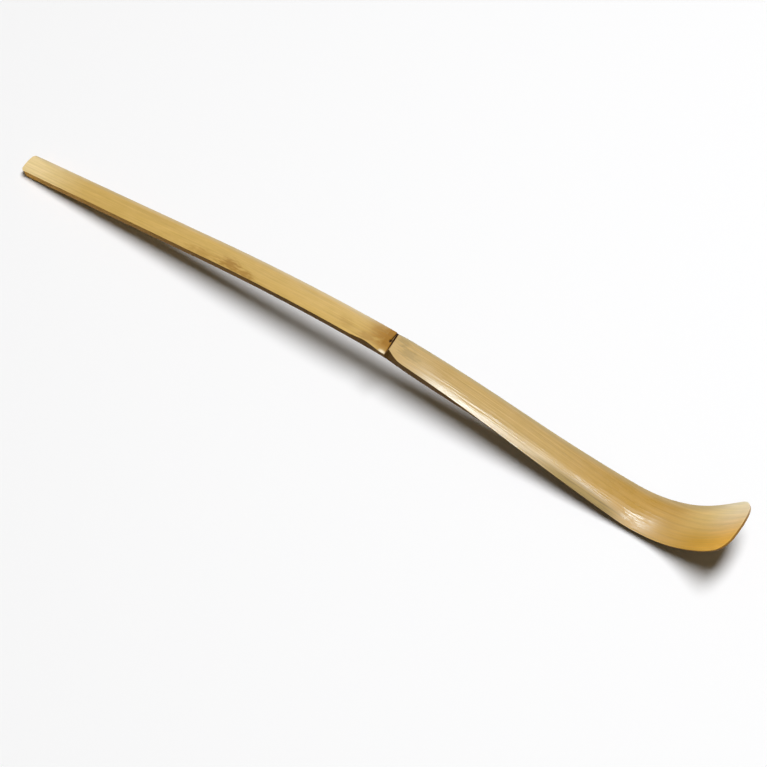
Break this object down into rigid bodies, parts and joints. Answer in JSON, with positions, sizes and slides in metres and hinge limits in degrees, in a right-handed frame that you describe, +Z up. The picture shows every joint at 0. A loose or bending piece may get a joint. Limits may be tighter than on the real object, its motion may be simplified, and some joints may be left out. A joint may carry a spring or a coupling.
{
  "type": "tea scoop",
  "caption": "Slim bamboo strip cut across a node, planed thin, hollowed along its upper face and heat-bent up at the tip, for lifting powdered tea",
  "frame": {"origin": "on the table, below the middle of the strip as it rests on its butt and on the outside of its bend", "axes": "+X from the butt to the tip, +Y to the left when looking from the butt to the tip, +Z up"},
  "size_m": [0.1797, 0.0132, 0.0144],
  "materials": {
    "bamboo_wood": "planed, matt",
    "bamboo_skin": "polished, satin",
    "bamboo_node": "polished, scarred"
  },
  "bodies": {
    "root": {"handle_wood": "bamboo_wood", "handle_skin": "bamboo_skin", "node": "bamboo_node", "scoop_wood": "bamboo_wood", "scoop_skin": "bamboo_skin"}
  },
  "joints": []
}
